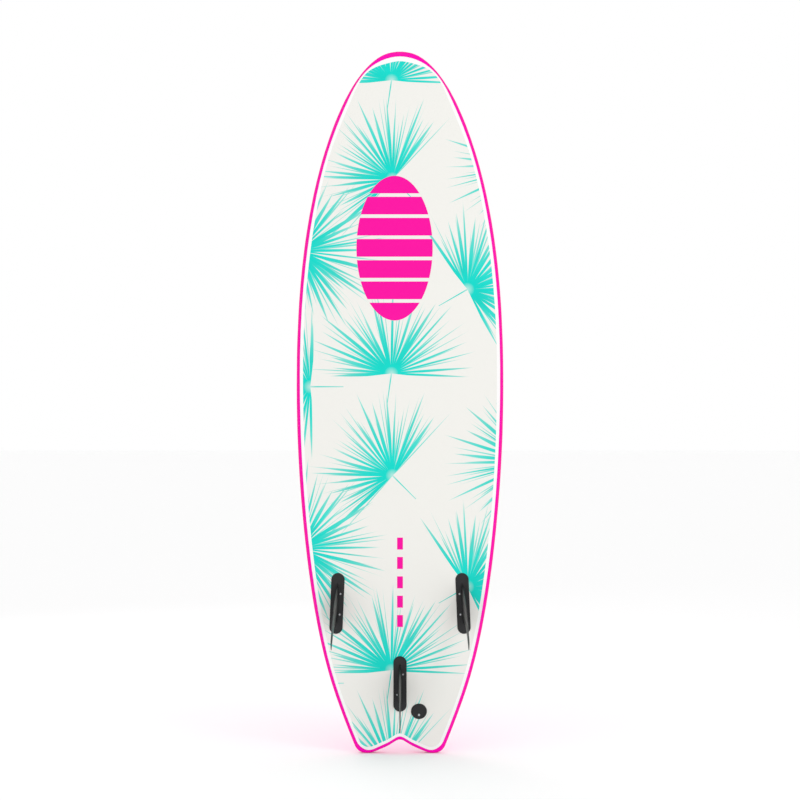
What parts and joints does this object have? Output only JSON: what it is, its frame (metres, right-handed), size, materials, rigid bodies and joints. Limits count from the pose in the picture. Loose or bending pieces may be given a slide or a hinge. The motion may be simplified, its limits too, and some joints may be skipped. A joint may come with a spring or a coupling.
{
  "type": "soft-top surfboard",
  "caption": "Foam soft-top surfboard with a swallow tail, wooden stringers, slick printed bottom, removable fins in boxes, and a leash plug with its string.",
  "frame": {"origin": "on the floor under the middle of the board's box, with the board standing on its tail", "axes": "+Z from tail to nose, +X to the right as the deck is looked at, the deck faces -Y and the bottom and the fins face +Y"},
  "size_m": [0.5332, 0.2392, 1.828],
  "materials": {
    "foam_skin": "pink closed-cell foam sheet with a fine pebble grain",
    "slick_sheet": "smooth white polyethylene sheet",
    "printed_film": "off-white film printed with turquoise palm leaves and one magenta oval of bars",
    "foam_core": "cut white bead foam",
    "stringer_wood": "sawn ply",
    "box_plastic": "satin moulded nylon",
    "fin_plastic": "satin moulded plastic",
    "screw_steel": "plain stainless",
    "plug_plastic": "satin moulded black nylon",
    "stainless_steel": "plain stainless",
    "cord": "black braided polyester",
    "grip_print": "gritty black non-slip coat"
  },
  "bodies": {
    "board": {"deck_skin": "foam_skin", "bottom_slick": "slick_sheet", "bottom_film": "printed_film", "core_inner_left": "foam_core", "core_inner_right": "foam_core", "core_outer_left": "foam_core", "core_outer_right": "foam_core", "stringer_left": "stringer_wood", "stringer_centre": "stringer_wood", "stringer_right": "stringer_wood", "fin_box_left": "box_plastic", "fin_box_centre": "box_plastic", "fin_box_right": "box_plastic", "leash_cup": "plug_plastic", "leash_bar": "stainless_steel", "plug_base": "plug_plastic", "plug_bolt": "stainless_steel", "string_left": "cord", "string_right": "cord", "string_knot": "cord", "deck_grip_patch": "grip_print"},
    "fin_left": {"fin_left": "fin_plastic"},
    "screw_left_front": {"screw_left_front": "screw_steel"},
    "screw_left_rear": {"screw_left_rear": "screw_steel"},
    "fin_centre": {"fin_centre": "fin_plastic"},
    "screw_centre_front": {"screw_centre_front": "screw_steel"},
    "screw_centre_rear": {"screw_centre_rear": "screw_steel"},
    "fin_right": {"fin_right": "fin_plastic"},
    "screw_right_front": {"screw_right_front": "screw_steel"},
    "screw_right_rear": {"screw_right_rear": "screw_steel"}
  },
  "joints": [
    {"name": "fin_left_pull_out", "type": "slide", "parent": "board", "child": "fin_left", "axis": [-0.0697, 0.9962, -0.0515], "range_m": [0, 0.016]},
    {"name": "screw_left_front_turn_out", "type": "slide", "parent": "board", "child": "screw_left_front", "axis": [0.438, 0.8964, -0.0683], "range_m": [0, 0.004]},
    {"name": "screw_left_rear_turn_out", "type": "slide", "parent": "board", "child": "screw_left_rear", "axis": [0.438, 0.8964, -0.0683], "range_m": [0, 0.004]},
    {"name": "fin_centre_pull_out", "type": "slide", "parent": "board", "child": "fin_centre", "axis": [0, 0.9959, -0.0903], "range_m": [0, 0.016]},
    {"name": "screw_centre_front_turn_out", "type": "slide", "parent": "board", "child": "screw_centre_front", "axis": [-0.5, 0.8625, -0.0782], "range_m": [0, 0.004]},
    {"name": "screw_centre_rear_turn_out", "type": "slide", "parent": "board", "child": "screw_centre_rear", "axis": [0.5, 0.8625, -0.0782], "range_m": [0, 0.004]},
    {"name": "fin_right_pull_out", "type": "slide", "parent": "board", "child": "fin_right", "axis": [0.0697, 0.9962, -0.0515], "range_m": [0, 0.016]},
    {"name": "screw_right_front_turn_out", "type": "slide", "parent": "board", "child": "screw_right_front", "axis": [-0.438, 0.8964, -0.0683], "range_m": [0, 0.004]},
    {"name": "screw_right_rear_turn_out", "type": "slide", "parent": "board", "child": "screw_right_rear", "axis": [-0.438, 0.8964, -0.0683], "range_m": [0, 0.004]}
  ]
}
